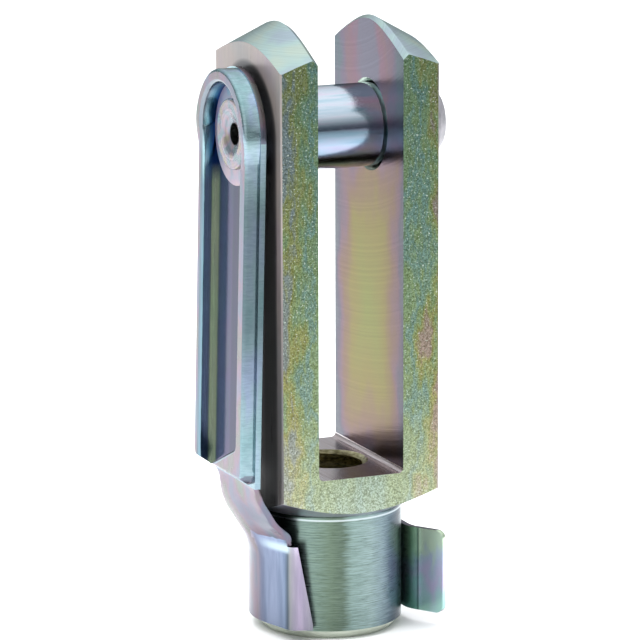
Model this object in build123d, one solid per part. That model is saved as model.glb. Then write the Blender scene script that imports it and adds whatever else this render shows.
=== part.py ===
"""Clevis rod end with a spring clip pin, size 8 x 32 with an M8 thread. Millimetres.

The origin is on the thread's axis, on the end face of the shank. +Z runs up the shank to the fork's
eye, X is the pin's axis with the clip's lever on the -X side, and the clip's band opens to -Y.
"""
from build123d import *
import math
import os

# ---- fork: a square bar, turned at both ends, slotted and cross-drilled ----
bar_side = 16.0
bar_edge_radius = 0.25
shank_step = 1.0              # how far the bar's sides stand outside the shank
shank_end_chamfer = 0.9
shoulder_height = 12.0        # where the shank meets the cone under the bar
shoulder_angle = 27.0         # degrees, the slope of that cone
shoulder_fillet = 0.4
overall_length = 58.3
end_angle = 29.5              # degrees, the slope of the cone on the arms' ends
slot_width = 8.6
arm_edge_chamfer = 0.55       # along the arms' ends, on the slot's side
slot_floor_height = 16.0
slot_floor_fillet = 0.5
eye_to_end = 10.3             # from the pin's axis to the ends of the arms
bore_diameter = 8.1
bore_chamfer = 0.35
thread_size = 8.0
thread_pitch = 1.25
thread_mouth_clearance = 0.1  # the countersink at the shank's end, outside the thread
thread_mouth_angle = 120.0    # degrees across the countersink
thread_exit_chamfer = 0.4     # where the thread breaks out in the slot's floor

# ---- pin: turned, with a hollow rivet head on the clip's side ----
pin_running_clearance = 0.1   # on the radius, in the fork's bore
pin_overhang = 3.05           # how far the tip stands out of the far arm
pin_tip_chamfer = 1.15
rivet_neck_diameter = 5.2
rivet_head_diameter = 6.7
rivet_head_height = 0.5
rivet_edge_radius = 0.2
rivet_dish_diameter = 4.6
rivet_dish_depth = 0.45
rivet_hole_diameter = 2.1
rivet_hole_depth = 3.0

# ---- spring clip: one sheet, with a pressed rim round its head and lever ----
sheet = 0.55
clip_side_gap = 0.75          # between the clip's head and the fork's side
lever_lean = 1.4              # degrees, the lever stands off further at its lower end
rim_head_radius = 6.15        # the rim's outer wall round the head
rim_half_width = 5.95         # and along the lever
rim_height = 1.3
head_rise = 0.3               # the rim stands this much higher round the head
head_rise_start = -2.6        # from the pin's axis, up the lever
head_rise_end = 1.2
rim_edge_radius = 0.35
brim = 0.35                   # flat edge left outside the rim, along the lever
head_blend_radius = 4.0
pad_radius = 4.85
panel_front = 4.3             # the panel's front edge, from the pin's axis; its back edge meets the pad's
panel_depth = 0.15            # the lever's panel lies this much deeper than the head's pad
panel_above_rim_end = 1.55    # on the lever's middle line
panel_end_angle = 24.0        # degrees, the panel's end climbs towards the front
panel_corner_radius = 0.5
rim_end_height = 15.5         # above the shank's end face
rim_end_slope = 0.85          # how far the rim's end wall runs down the lever
rim_corner_radius = 1.6
brim_below_rim_end = 0.1
neck_back = 2.4               # the neck's back edge, behind the pin's axis
neck_front = 5.8              # and its front edge, under the lever
neck_back_radius = 1.2
neck_blend_depth = 1.9        # how far the neck's bend reaches down into the band
neck_bend = (
    # place: 0 at the band's top, 1 at the lever's end, -1 at the bottom of the blend,
    # then how far the back, the middle and the front have come from the band to the lever
    (-1, 0, 0, 0),
    (-0.5, 0, 0.08, 0),
    (0, 0, 0.22, 0),
    (0.08, 0.12, 0.32, 0.02),
    (0.17, 0.26, 0.43, 0.10),
    (0.28, 0.47, 0.57, 0.30),
    (0.48, 0.76, 0.78, 0.57),
    (0.68, 0.92, 0.92, 0.77),
    (0.85, 0.98, 0.98, 0.90),
)

# ---- the clip's band round the shank ----
band_clearance = 0.05
band_bottom = 1.2
band_top = 9.3
band_corner_radius = 2.5
hook_start_angle = 15.0       # degrees in front of the -X side, where the sheet leaves the shank
hook_reach = 3.75             # straight run from there to the fold
hook_angle = 20.0             # degrees forward of +X
hook_width_bottom = 2.0
hook_width_top = 0.5
hook_bend_radius = 0.3
jaw_straight = 2.7
flare_angle = 33.0
flare_length = 3.95
flare_bend_radius = 2.5
flare_corner_radius = 0.8

# ---- worked out from the sizes above ----
eye_height = overall_length - eye_to_end
bore_radius = bore_diameter / 2
pin_radius = bore_radius - pin_running_clearance
thread_core_radius = (thread_size - 1.0825 * thread_pitch) / 2
thread_mouth_radius = thread_size / 2 + thread_mouth_clearance
half_bar = bar_side / 2
shank_radius = half_bar - shank_step
half_slot = slot_width / 2
shoulder_slope = math.tan(math.radians(shoulder_angle))
end_slope = math.tan(math.radians(end_angle))
arm_crest = half_slot + arm_edge_chamfer * math.cos(math.radians(end_angle))
cone_tip_height = overall_length + arm_crest * end_slope
head_inner_x = -half_bar - clip_side_gap
head_outer_x = head_inner_x - sheet
panel_end_height = rim_end_height + panel_above_rim_end
brim_end_height = rim_end_height - brim_below_rim_end
band_inner = shank_radius + band_clearance
band_outer = band_inner + sheet


def make_fork():
    """The fork: what a lathe leaves of a square bar, then the slot, the cross bore and the thread's core."""
    column = extrude(RectangleRounded(bar_side, bar_side, bar_edge_radius), cone_tip_height)
    beyond = bar_side
    turned = make_face(Polyline(
        (0, 0),
        (shank_radius - shank_end_chamfer, 0),
        (shank_radius, shank_end_chamfer),
        (shank_radius, shoulder_height),
        (beyond, shoulder_height + (beyond - shank_radius) * shoulder_slope),
        (beyond, cone_tip_height - beyond * end_slope),
        (0, cone_tip_height),
        close=True,
    ))
    inner_corner = turned.vertices().sort_by_distance(Vector(shank_radius, shoulder_height))[0]
    turned = fillet(inner_corner, shoulder_fillet)
    body = column & revolve(Plane.XZ * turned, Axis.Z)

    slot_height = cone_tip_height - slot_floor_height + 1
    slot = Pos(0, 0, slot_floor_height) * Box(
        slot_width, 2 * bar_side, slot_height, align=(Align.CENTER, Align.CENTER, Align.MIN)
    )
    floor_edges = slot.edges().filter_by(Axis.Y).group_by(Axis.Z)[0]
    body -= fillet(floor_edges, slot_floor_fillet)
    arm_edges = [
        edge for edge in body.edges()
        if abs(abs(edge.center().X) - half_slot) < 0.01 and edge.center().Z > eye_height + bore_radius
    ]
    body = chamfer(arm_edges, arm_edge_chamfer)

    chamfered = bore_radius + bore_chamfer
    half_bore = make_face(Polyline(
        (0, 0),
        (0, chamfered),
        (half_slot, chamfered),
        (half_slot + bore_chamfer, bore_radius),
        (half_bar - bore_chamfer, bore_radius),
        (half_bar, chamfered),
        (half_bar + 1, chamfered),
        (half_bar + 1, 0),
        close=True,
    ))
    right_bore = Pos(0, 0, eye_height) * revolve(Plane.XZ * half_bore, Axis.X)
    body -= right_bore
    body -= mirror(right_bore, Plane.YZ)

    mouth_slope = math.tan(math.radians(thread_mouth_angle / 2))
    mouth_depth = (thread_mouth_radius - thread_core_radius) / mouth_slope
    exit_radius = thread_core_radius + thread_exit_chamfer
    core = make_face(Polyline(
        (0, -1),
        (thread_mouth_radius, -1),
        (thread_mouth_radius, 0),
        (thread_core_radius, mouth_depth),
        (thread_core_radius, slot_floor_height - thread_exit_chamfer),
        (exit_radius, slot_floor_height),
        (exit_radius, slot_floor_height + 1),
        (0, slot_floor_height + 1),
        close=True,
    ))
    return body - revolve(Plane.XZ * core, Axis.Z)


def make_clip_pin():
    """The pin: a chamfered tip on the +X side, and a rivet neck and dished hollow head on the -X side."""
    tip_x = half_bar + pin_overhang
    crown_x = head_outer_x - rivet_head_height
    neck_radius = rivet_neck_diameter / 2
    rim_radius = rivet_head_diameter / 2
    dish_radius = rivet_dish_diameter / 2
    hole_radius = rivet_hole_diameter / 2
    outline = make_face(Polyline(
        (tip_x, 0),
        (tip_x, pin_radius - pin_tip_chamfer),
        (tip_x - pin_tip_chamfer, pin_radius),
        (head_inner_x, pin_radius),
        (head_inner_x, neck_radius),
        (head_outer_x, neck_radius),
        (head_outer_x, rim_radius),
        (crown_x, rim_radius),
        (crown_x, dish_radius),
        (crown_x + rivet_dish_depth, hole_radius),
        (crown_x + rivet_hole_depth, hole_radius),
        (crown_x + rivet_hole_depth + hole_radius / 2, 0),
        close=True,
    ))
    head_edge = outline.vertices().sort_by_distance(Vector(crown_x, rim_radius))[0]
    outline = fillet(head_edge, rivet_edge_radius)
    shoulder = outline.vertices().sort_by_distance(Vector(tip_x - pin_tip_chamfer, pin_radius))[0]
    outline = fillet(shoulder, pin_tip_chamfer / 2)
    return Pos(0, 0, eye_height) * revolve(Plane.XZ * outline, Axis.X)


lean = math.radians(lever_lean)
lever_plane = Plane(
    origin=(head_inner_x, 0, eye_height),
    x_dir=(0, -1, 0),
    z_dir=(-math.cos(lean), 0, math.sin(lean)),
)


def down_lever(height):
    """A height above the shank's end face, as a distance along the lever from the pin (negative)."""
    return (height - eye_height) / math.cos(lean)


def lever_outline(head_radius, half_width, end_height, corner_radius, square_front=False):
    """A round head on a straight strip, in the lever's plane, with the pin at its origin."""
    end = down_lever(end_height)
    strip = Pos(0, end / 2) * Rectangle(2 * half_width, -end)
    shape = Circle(head_radius) + strip
    ends = shape.vertices().group_by(Axis.Y)[0].sort_by(Axis.X)
    shape = fillet(ends[:1] if square_front else ends, corner_radius)
    if head_radius > half_width:
        waist = -math.sqrt(head_radius ** 2 - half_width ** 2)
        corners = [
            shape.vertices().sort_by_distance(Vector(side * half_width, waist))[0]
            for side in (-1, 1)
        ]
        shape = fillet(corners, head_blend_radius)
    return shape


def panel_outline():
    """The pad's circle and the panel under it, whose slanted end runs out under the rim at the back."""
    end = down_lever(panel_end_height)
    climb = math.tan(math.radians(panel_end_angle))
    strip = make_face(Polyline(
        (-pad_radius, 0),
        (panel_front, 0),
        (panel_front, end + panel_front * climb),
        (-pad_radius, end - pad_radius * climb),
        close=True,
    ))
    corner = strip.vertices().sort_by_distance(Vector(panel_front, end + panel_front * climb))[0]
    shape = Circle(pad_radius) + fillet(corner, panel_corner_radius)
    waist = shape.vertices().sort_by_distance(Vector(panel_front, 0))[0]
    return fillet(waist, head_blend_radius)


def pressed(outline, start, height):
    """A block that stands on the lever's plane over an outline."""
    return extrude(lever_plane.offset(start) * outline, height)


def end_wedge(end, start):
    """What the rim's sloping end wall leaves free, from the end to the rim's full height."""
    side_plane = Plane(origin=lever_plane.origin, x_dir=lever_plane.y_dir, z_dir=(0, -1, 0))
    outline = make_face(Polyline(
        (end - 1, start),
        (end, start),
        (end + rim_end_slope, start + rim_height),
        (end + rim_end_slope, start + rim_height + 1),
        (end - 1, start + rim_height + 1),
        close=True,
    ))
    return extrude(side_plane * outline, 2 * rim_half_width, both=True)


def above_crest():
    """What lies over the rim's crest, which climbs in a soft ramp to the higher stretch round the head."""
    side_plane = Plane(origin=lever_plane.origin, x_dir=lever_plane.y_dir, z_dir=(0, -1, 0))
    low = sheet + rim_height
    high = low + head_rise
    bottom = down_lever(0)
    ramp_start = (head_rise_start, low)
    ramp_end = (head_rise_end, high)
    top = 2 * rim_head_radius
    crest_line = [
        Line((bottom, low), ramp_start),
        Spline(ramp_start, ramp_end, tangents=[(1, 0), (1, 0)]),
        Line(ramp_end, (top, high)),
    ]
    lid = Polyline((top, high), (top, 2 * high), (bottom, 2 * high), (bottom, low))
    return extrude(side_plane * make_face(crest_line + [lid]), 2 * rim_half_width, both=True)


def make_lever():
    """Head and lever: a flat plate, a hollow rim raised all round it, and the panel pressed back."""
    plate_half_width = rim_half_width + brim
    plate_outline = lever_outline(
        plate_half_width, plate_half_width, brim_end_height, rim_corner_radius, square_front=True
    )
    rim = lever_outline(rim_head_radius, rim_half_width, rim_end_height, rim_corner_radius)
    inside = panel_outline()
    panel = inside - Circle(pad_radius)
    walls_inside = offset(inside, sheet) & plate_outline

    full_height = rim_height + head_rise
    lever = pressed(rim, sheet, full_height) - above_crest() - end_wedge(down_lever(rim_end_height), sheet)
    lever -= pressed(inside, sheet, full_height)
    crests = lever.faces().filter_by(
        lambda f: lever_plane.to_local_coords(f.center()).Z > sheet + rim_height - rim_edge_radius
    )
    crests = crests.filter_by(lambda f: f.normal_at(f.center()).dot(lever_plane.z_dir) > 0.9)
    ramp_ends = (head_rise_start, head_rise_end)
    across = [
        edge for edge in crests.edges()
        if min(abs(lever_plane.to_local_coords(edge.center()).Y - end) for end in ramp_ends) < 0.01
        and edge.length < rim_half_width and edge.geom_type == GeomType.LINE
    ]
    loops = [edge for edge in crests.edges() if not any(edge.is_same(other) for other in across)]
    lever = fillet(loops, rim_edge_radius)

    lever += pressed(plate_outline, 0, sheet)
    lever += pressed(walls_inside - Circle(pad_radius - sheet), -panel_depth, panel_depth)
    lever -= pressed(panel, sheet - panel_depth, panel_depth)

    cavity = lever_outline(
        rim_head_radius - sheet, rim_half_width - sheet,
        rim_end_height + sheet, rim_corner_radius - sheet,
    ) - walls_inside
    hollow = pressed(cavity, -panel_depth, rim_height + panel_depth)
    return lever - (hollow - end_wedge(down_lever(rim_end_height + sheet), 0))


def on_shank(radius, degrees_forward):
    """A point round the shank, counted from its -X side towards the front."""
    turn = math.radians(degrees_forward)
    return (-radius * math.cos(turn), -radius * math.sin(turn))


band_middle = band_inner + sheet / 2
start_turn = math.radians(hook_start_angle)
run_along = Vector(math.sin(start_turn), -math.cos(start_turn))
hook_turn = math.radians(hook_angle)
hook_along = Vector(math.cos(hook_turn), -math.sin(hook_turn))
fold_radius = hook_bend_radius + sheet / 2
fold_setback = fold_radius * math.tan((math.pi / 2 - start_turn - hook_turn) / 2)
hook_start = Vector(*on_shank(band_middle, hook_start_angle))
fold = hook_start + run_along * hook_reach
neck_blend_back = neck_back + max(band_corner_radius, neck_back_radius)
neck_bottom = band_top - neck_blend_depth


def make_band():
    """The C-shaped band: hook, wrap round the back of the shank, straight jaw and flared tab."""
    flare = math.radians(flare_angle)
    flare_end = (
        band_middle + flare_length * math.sin(flare),
        -jaw_straight - flare_length * math.cos(flare),
    )
    hook = FilletPolyline(fold + hook_along * hook_width_bottom, fold, hook_start, radius=fold_radius)
    wrap = CenterArc((0, 0), band_middle, 0, 180 + hook_start_angle)
    jaw = FilletPolyline((band_middle, 0), (band_middle, -jaw_straight), flare_end, radius=flare_bend_radius)
    profile = trace(hook, sheet) + trace(wrap, sheet) + trace(jaw, sheet)
    band = extrude(Pos(0, 0, band_bottom) * profile, band_top - band_bottom)

    bend_start = fold - run_along * fold_setback
    through_sheet = Vector(run_along.Y, -run_along.X) * 2 * sheet
    under_neck = make_face(Polyline(
        bend_start - through_sheet,
        bend_start + through_sheet,
        (-bar_side, neck_blend_back),
        (-half_slot, neck_blend_back),
        close=True,
    ))
    band -= extrude(Pos(0, 0, neck_bottom) * under_neck, band_top)
    tab_end = Vector(*flare_end, (band_bottom + band_top) / 2)
    end_face = band.faces().sort_by_distance(tab_end)[0]
    corners = end_face.edges().filter_by(lambda e: e.length < 2 * sheet)
    return fillet(corners, flare_corner_radius)


def lever_x(height, outer):
    """Where the lever's inner or outer face, run on downwards, stands at a height."""
    side = head_outer_x if outer else head_inner_x
    return side - (eye_height - height) * math.tan(lean)


def neck_line(on_band, y_on_lever, outer, shares):
    """One line down the neck's face, from the band to the lever's end."""
    line = []
    for (place, *others), share in zip(neck_bend, shares):
        height = band_top + place * (brim_end_height - band_top if place > 0 else neck_blend_depth)
        x = on_band.X + (lever_x(height, outer) - on_band.X) * share
        y = on_band.Y + (y_on_lever - on_band.Y) * share
        line.append(Vector(x, y, height))
    depth = sheet if outer else 0
    line.append(lever_plane.from_local_coords(Vector(-y_on_lever, down_lever(brim_end_height), depth)))
    return line


def squared_to_slope(line, shares):
    """The same line moved inwards where it slopes, so that the sheet keeps its thickness there."""
    moved = list(line)
    for index, share in enumerate(shares):
        if share > 0:
            below, above = line[index - 1], line[index + 1]
            slope = (above.X - below.X) / (above.Z - below.Z)
            moved[index] += Vector(sheet * (math.hypot(1, slope) - 1), 0, 0)
    return moved


def neck_face_lines(radius, outer):
    """The neck's lines on one face of the sheet: back, middle, where the band runs straight, and front."""
    kink = Vector(*on_shank(radius, hook_start_angle))
    front = kink + run_along * (hook_reach - fold_setback)
    back_shares = [row[1] for row in neck_bend]
    middle_shares = [row[2] for row in neck_bend]
    front_shares = [row[3] for row in neck_bend]
    kink_part = (kink.Y + neck_front) / neck_front
    kink_shares = [f + (m - f) * kink_part for m, f in zip(middle_shares, front_shares)]
    rear = Vector(-math.sqrt(radius ** 2 - neck_blend_back ** 2), neck_blend_back)
    courses = [
        (rear, neck_blend_back, back_shares),
        (Vector(-radius, 0), 0, middle_shares),
        (kink, kink.Y, kink_shares),
        (front, -neck_front, front_shares),
    ]
    lines = []
    for on_band, y_on_lever, shares in courses:
        line = neck_line(on_band, y_on_lever, outer, shares)
        lines.append(line if outer else squared_to_slope(line, shares))
    return lines


def make_neck():
    """The neck: flat where it leaves the lever, and bent in to the round of the band below."""
    outer_lines = neck_face_lines(band_outer, True)
    inner_lines = neck_face_lines(band_inner, False)
    sections = []
    for outer, inner in zip(zip(*outer_lines), zip(*inner_lines)):
        flat = len(sections) == len(neck_bend)
        sections.append(make_face([
            Line(outer[0], outer[2]) if flat else ThreePointArc(*outer[:3]),
            Line(outer[2], outer[3]),
            Line(outer[3], inner[3]),
            Line(inner[3], inner[2]),
            Line(inner[2], inner[0]) if flat else ThreePointArc(*reversed(inner[:3])),
            Line(inner[0], outer[0]),
        ]))
    band_top_row = [row[0] for row in neck_bend].index(0)
    return loft(sections[:band_top_row + 1]) + loft(sections[band_top_row:])


def make_spring_clip():
    """The clip: lever, neck and band in one sheet, with its cut edges and the hole for the rivet."""
    reach = 2 * bar_side
    sheet_edge = Plane.YZ.offset(-shank_radius / 2)

    lever_end = brim_end_height + sheet * math.sin(lean)
    gap_height = lever_end - band_top
    behind_neck = Pos(neck_back + reach / 2, band_top + gap_height / 2) * Rectangle(reach, gap_height)
    corners = behind_neck.vertices().group_by(Axis.X)[0].sort_by(Axis.Y)
    behind_neck = fillet(corners[0], band_corner_radius)
    upper = behind_neck.vertices().sort_by_distance(Vector(neck_back, lever_end))[0]
    behind_neck = fillet(upper, neck_back_radius)
    cuts = extrude(sheet_edge * behind_neck, -bar_side)

    hook_edge = make_face(Polyline(
        (fold.X + hook_width_top * hook_along.X, band_top),
        (fold.X + hook_width_bottom * hook_along.X, band_bottom),
        (fold.X + hook_width_bottom + sheet, band_bottom),
        (fold.X + hook_width_bottom + sheet, band_top),
        close=True,
    ))
    cuts += extrude(Plane.XZ.offset(-fold.Y - sheet) * hook_edge, bar_side)

    through_head = (head_inner_x + head_outer_x) / 2
    rivet_hole = Pos(through_head, 0, eye_height) * Rot(0, 90, 0) * Cylinder(
        rivet_neck_diameter / 2, 4 * sheet
    )
    clip = make_lever() + make_neck() + make_band()
    return clip - cuts - rivet_hole - make_clip_pin()


os.makedirs("parts", exist_ok=True)
export_step(make_fork(), "parts/fork.step")
export_step(make_clip_pin(), "parts/clip_pin.step")
export_step(make_spring_clip(), "parts/spring_clip.step")
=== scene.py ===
# %% [markdown]
# # A clevis rod end with its spring clip
# A clevis rod end is a forked steel end for a pull rod. A pin crosses the fork's two arms, and a spring clip,
# bent from one strip of sheet steel, is riveted to the pin and snaps round the shank to hold it there.
# The solids come from the CAD model, which is loaded first and fixes every place and size.
# Blender adds what the solids leave out: rounded edges, a real screw thread, and the plated finish.

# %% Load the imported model
import math

import bpy
from mathutils import Matrix, Vector


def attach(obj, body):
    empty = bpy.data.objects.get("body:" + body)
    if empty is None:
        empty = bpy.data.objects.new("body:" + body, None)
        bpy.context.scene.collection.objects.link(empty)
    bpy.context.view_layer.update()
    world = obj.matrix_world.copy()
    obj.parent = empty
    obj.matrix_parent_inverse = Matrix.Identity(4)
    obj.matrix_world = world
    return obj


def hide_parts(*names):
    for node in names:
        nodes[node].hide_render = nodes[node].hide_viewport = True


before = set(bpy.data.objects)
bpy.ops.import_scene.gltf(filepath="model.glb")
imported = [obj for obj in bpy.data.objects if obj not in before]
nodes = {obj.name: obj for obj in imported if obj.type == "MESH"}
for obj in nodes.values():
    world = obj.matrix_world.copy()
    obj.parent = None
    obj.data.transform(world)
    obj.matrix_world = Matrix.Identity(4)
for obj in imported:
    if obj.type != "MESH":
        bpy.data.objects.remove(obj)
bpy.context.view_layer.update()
MM = 0.001  # Blender works in metres here, and the part's sizes are in millimetres

# %% [markdown]
# ## The camera
# The camera stands in front of the fork, to its left and a little above it. It is far away and has a long
# lens, so that upright edges stay almost parallel. The "Standard" view keeps the colours of the finish as
# they are; the film-like default would grey the whites and dull the tints.

# %% Set up the camera
camera_place = Vector((-173.572, -402.746, 124.000)) * MM
camera_yaw = math.radians(23.226)      # turned from straight along +Y
camera_pitch = math.radians(12.162)    # and looking down
camera_roll = math.radians(-0.174)

camera_data = bpy.data.cameras.new("camera")
camera_data.lens = 266.8               # millimetres, on a sensor 36 mm wide
camera_data.sensor_width = 36.0
camera_data.clip_start = 0.01
camera_data.clip_end = 20.0
camera = bpy.data.objects.new("camera", camera_data)
bpy.context.scene.collection.objects.link(camera)
aim = Matrix.Rotation(-camera_yaw, 4, "Z") @ Matrix.Rotation(math.pi / 2 - camera_pitch, 4, "X")
camera.matrix_world = Matrix.Translation(camera_place) @ aim @ Matrix.Rotation(camera_roll, 4, "Z")
bpy.context.scene.camera = camera
bpy.context.scene.view_settings.view_transform = "Standard"
print("camera is", round(camera_place.length, 3), "m from the origin")

# %% [markdown]
# ## From CAD solids to Blender pieces
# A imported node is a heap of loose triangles. A bevel needs one closed skin with whole faces, so a copy of
# the node is merged at its doubled points, and triangles that lie in one plane are joined into one face.
# The node itself is left alone, since the model still tests with it what touches what.

# %% Copy a node as one closed skin
def select_only(piece):
    bpy.ops.object.select_all(action="DESELECT")
    piece.select_set(True)
    bpy.context.view_layer.objects.active = piece


def copy_node(node, name):
    """A copy of a CAD node with its points merged and its flat faces joined up."""
    piece = bpy.data.objects.new(name, nodes[node].data.copy())
    bpy.context.scene.collection.objects.link(piece)
    piece.data.materials.clear()
    select_only(piece)
    bpy.ops.mesh.customdata_custom_splitnormals_clear()
    bpy.ops.object.mode_set(mode="EDIT")
    bpy.ops.mesh.select_all(action="SELECT")
    bpy.ops.mesh.remove_doubles(threshold=0.001 * MM)
    bpy.ops.mesh.dissolve_limited(angle_limit=math.radians(0.4))
    bpy.ops.object.mode_set(mode="OBJECT")
    print(name, "has", len(piece.data.polygons), "faces")
    return piece


# %% [markdown]
# Steel never has a perfectly sharp edge: tumbling and plating leave a narrow round, and that is where the
# highlights sit. A Bevel modifier makes these rounds on every edge that is sharper than a chosen angle.
# A bevelled face shaded smooth would look blown up like a cushion, so the Weighted Normal modifier
# lets the large flat faces keep their own direction and leaves the turning to the narrow rounds.

# %% Round the edges and shade a piece
def apply_modifiers(piece):
    select_only(piece)
    for modifier in list(piece.modifiers):
        bpy.ops.object.modifier_apply(modifier=modifier.name)


def round_edges(piece, width_mm):
    bevel = piece.modifiers.new("edge_rounds", "BEVEL")
    bevel.width = width_mm * MM
    bevel.segments = 2
    bevel.limit_method = "ANGLE"
    bevel.angle_limit = math.radians(28)
    bevel.use_clamp_overlap = True
    apply_modifiers(piece)
    print(piece.name, "has", len(piece.data.polygons), "faces after its edges are rounded")


def shade(piece):
    select_only(piece)
    bpy.ops.object.shade_smooth_by_angle(angle=math.radians(35))
    weighting = piece.modifiers.new("flat_faces_first", "WEIGHTED_NORMAL")
    weighting.keep_sharp = True
    apply_modifiers(piece)


# %% [markdown]
# ## The fork's solid
# The fork starts as a square bar, turned at both ends, slotted by a saw and cross-drilled. The CAD solid
# has all of that, so only its edges are rounded here. This comes before the thread is cut, because a bevel
# would also work its way along both edges of every turn, where the real thread is left as the tap cut it.

# %% Copy the fork and round its edges
fork = copy_node("fork", "rod_end_fork")
round_edges(fork, 0.12)

# %% [markdown]
# The bore for the rod is plain in the CAD solid, and a tap would cut the M8 thread in it. A tap is made
# here as well: a plane becomes one notch of the thread's form, and the Screw modifier spins it up a helix.

# %% Make the tap
thread_pitch = 1.25
thread_radius = 4.0
tap_root_radius = 3.05        # inside the drilled core, so that the cut is clean
tap_crest_half = 0.08         # half of the narrow flat at the bottom of the groove
tap_start = -1.5 * thread_pitch  # below the shank's end, so that the thread runs in from outside
tap_turns = 15
notch_gap = 0.01              # keeps one turn from touching the next

bpy.ops.object.select_all(action="DESELECT")
bpy.ops.mesh.primitive_plane_add(size=1.0, location=(0, 0, 0))
tap = bpy.context.active_object
tap.name = "tap"
notch = [
    (tap_root_radius, notch_gap), (thread_radius, thread_pitch / 2 - tap_crest_half),
    (thread_radius, thread_pitch / 2 + tap_crest_half), (tap_root_radius, thread_pitch - notch_gap),
]
corners = [tap.data.vertices[index] for index in tap.data.polygons[0].vertices]
for corner, (radius, height) in zip(corners, notch):
    corner.co = Vector((radius, 0, height + tap_start)) * MM
screw = tap.modifiers.new("helix", "SCREW")
screw.axis = "Z"
screw.angle = math.radians(360)
screw.screw_offset = thread_pitch * MM
screw.iterations = tap_turns
screw.steps = screw.render_steps = 48
screw.use_merge_vertices = False
apply_modifiers(tap)
print("the notch is", round(thread_radius - tap_root_radius, 2), "mm deep and climbs", tap_turns, "turns")

# %% [markdown]
# The Screw modifier leaves the helix open at its two ends and every turn's points doubled. A Boolean needs
# a closed body, so the points are merged, the ends filled, and all faces turned to look outwards.

# %% Close the tap's ends
bpy.ops.object.mode_set(mode="EDIT")
bpy.ops.mesh.select_all(action="SELECT")
bpy.ops.mesh.remove_doubles(threshold=0.0005 * MM)
bpy.ops.mesh.fill_holes(sides=4)
bpy.ops.mesh.normals_make_consistent(inside=False)
bpy.ops.object.mode_set(mode="OBJECT")
print("the tap has", len(tap.data.polygons), "faces")

# %% [markdown]
# A Boolean takes the helix from the fork, just as the real tap takes it from the steel. The exact solver
# is slower than the fast one, but it copes better with the many thin faces along a thread.

# %% Cut the thread
cut = fork.modifiers.new("tapping", "BOOLEAN")
cut.operation = "DIFFERENCE"
cut.solver = "EXACT"
cut.object = tap
apply_modifiers(fork)
bpy.data.objects.remove(tap)
shade(fork)
print("the tapped fork has", len(fork.data.polygons), "faces")

# %% [markdown]
# ## The clip and the pin
# The clip is blanked from 0.55 mm strip and pressed, so its cut edges are only slightly blunt, and the pin
# is turned. Both need no more than a very narrow round on their edges.

# %% Copy the clip and the pin
clip = copy_node("spring_clip", "spring_clip_sheet")
round_edges(clip, 0.06)
shade(clip)

pin = copy_node("clip_pin", "clip_pin_turned")
round_edges(pin, 0.06)
shade(pin)

# %% [markdown]
# ## How the finishes are made
# Zinc plate that has been passivated is a mirror-like metal under a film so thin that it shows colours,
# like oil on water: pale yellow, pink, violet, blue and green, which change with the film's thickness.
# Each finish is therefore a metal whose base colour wanders slowly between a few tints, with the
# marks of the tool that made the face (sawn, turned, drawn or rolled) in its colour, roughness and bump.
# All patterns are read in the object's own coordinates, so they stay on the part from every side.
# A face that is dull, or that has nothing bright to mirror, gets a lower metallic value, because then
# part of its colour scatters light and shows by itself.

# %% Colours for node materials
def linear(level):
    """A screen's level from 0 to 255 as the share of light that it stands for."""
    share = level / 255
    return ((share + 0.055) / 1.055) ** 2.4 if level > 10 else share / 12.92


def tint(red, green, blue):
    """A colour picked on a screen, in the linear values that a shader wants."""
    return (linear(red), linear(green), linear(blue), 1)


WHITE = tint(255, 255, 255)
print("half of a screen's white, 128, is", round(linear(128), 3), "of its light")

# %% [markdown]
# Every finish is wired from the same few nodes. A small class holds one material's nodes and links and
# adds a node by its kind, so that a finish reads as a short recipe. What is fed to a node may be another
# node's output or a plain value.

# %% Wire nodes in a material
class Wiring:
    MIX_FIRST, MIX_SECOND, MIX_RESULT = 6, 7, 2  # the colour sockets of a Mix node, whose names repeat

    def __init__(self, name):
        self.material = bpy.data.materials.new(name)
        self.material.use_nodes = True
        self.nodes = self.material.node_tree.nodes
        self.links = self.material.node_tree.links

    def node(self, kind, **settings):
        made = self.nodes.new("ShaderNode" + kind)
        for name, value in settings.items():
            setattr(made, name, value)
        return made

    def feed(self, socket, value):
        if isinstance(value, bpy.types.NodeSocket):
            self.links.new(value, socket)
        else:
            socket.default_value = value

    def maths(self, operation, *values):
        node = self.node("Math", operation=operation)
        for socket, value in zip(node.inputs, values):
            self.feed(socket, value)
        return node.outputs[0]

    def ramp(self, factor, *stops):
        """Colours at places from 0 to 1."""
        node = self.node("ValToRGB")
        while len(node.color_ramp.elements) < len(stops):
            node.color_ramp.elements.new(0.5)
        for element, (position, colour) in zip(node.color_ramp.elements, stops):
            element.position = position
            element.color = colour
        self.feed(node.inputs[0], factor)
        return node.outputs["Color"]

    def mix(self, factor, first, second, blend="MIX"):
        node = self.node("Mix", data_type="RGBA", blend_type=blend)
        self.feed(node.inputs["Factor"], factor)
        self.feed(node.inputs[self.MIX_FIRST], first)
        self.feed(node.inputs[self.MIX_SECOND], second)
        return node.outputs[self.MIX_RESULT]


# %% [markdown]
# A pattern starts from the place on the piece. It may run along an axis, as a shading from foot to top
# does, or round an axis, as turned rings do. Noise may be stretched: short across and long along a bar, it
# looks like the marks of a drawing die. Blender's noise keeps near its middle value, so it is spread out.

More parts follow.
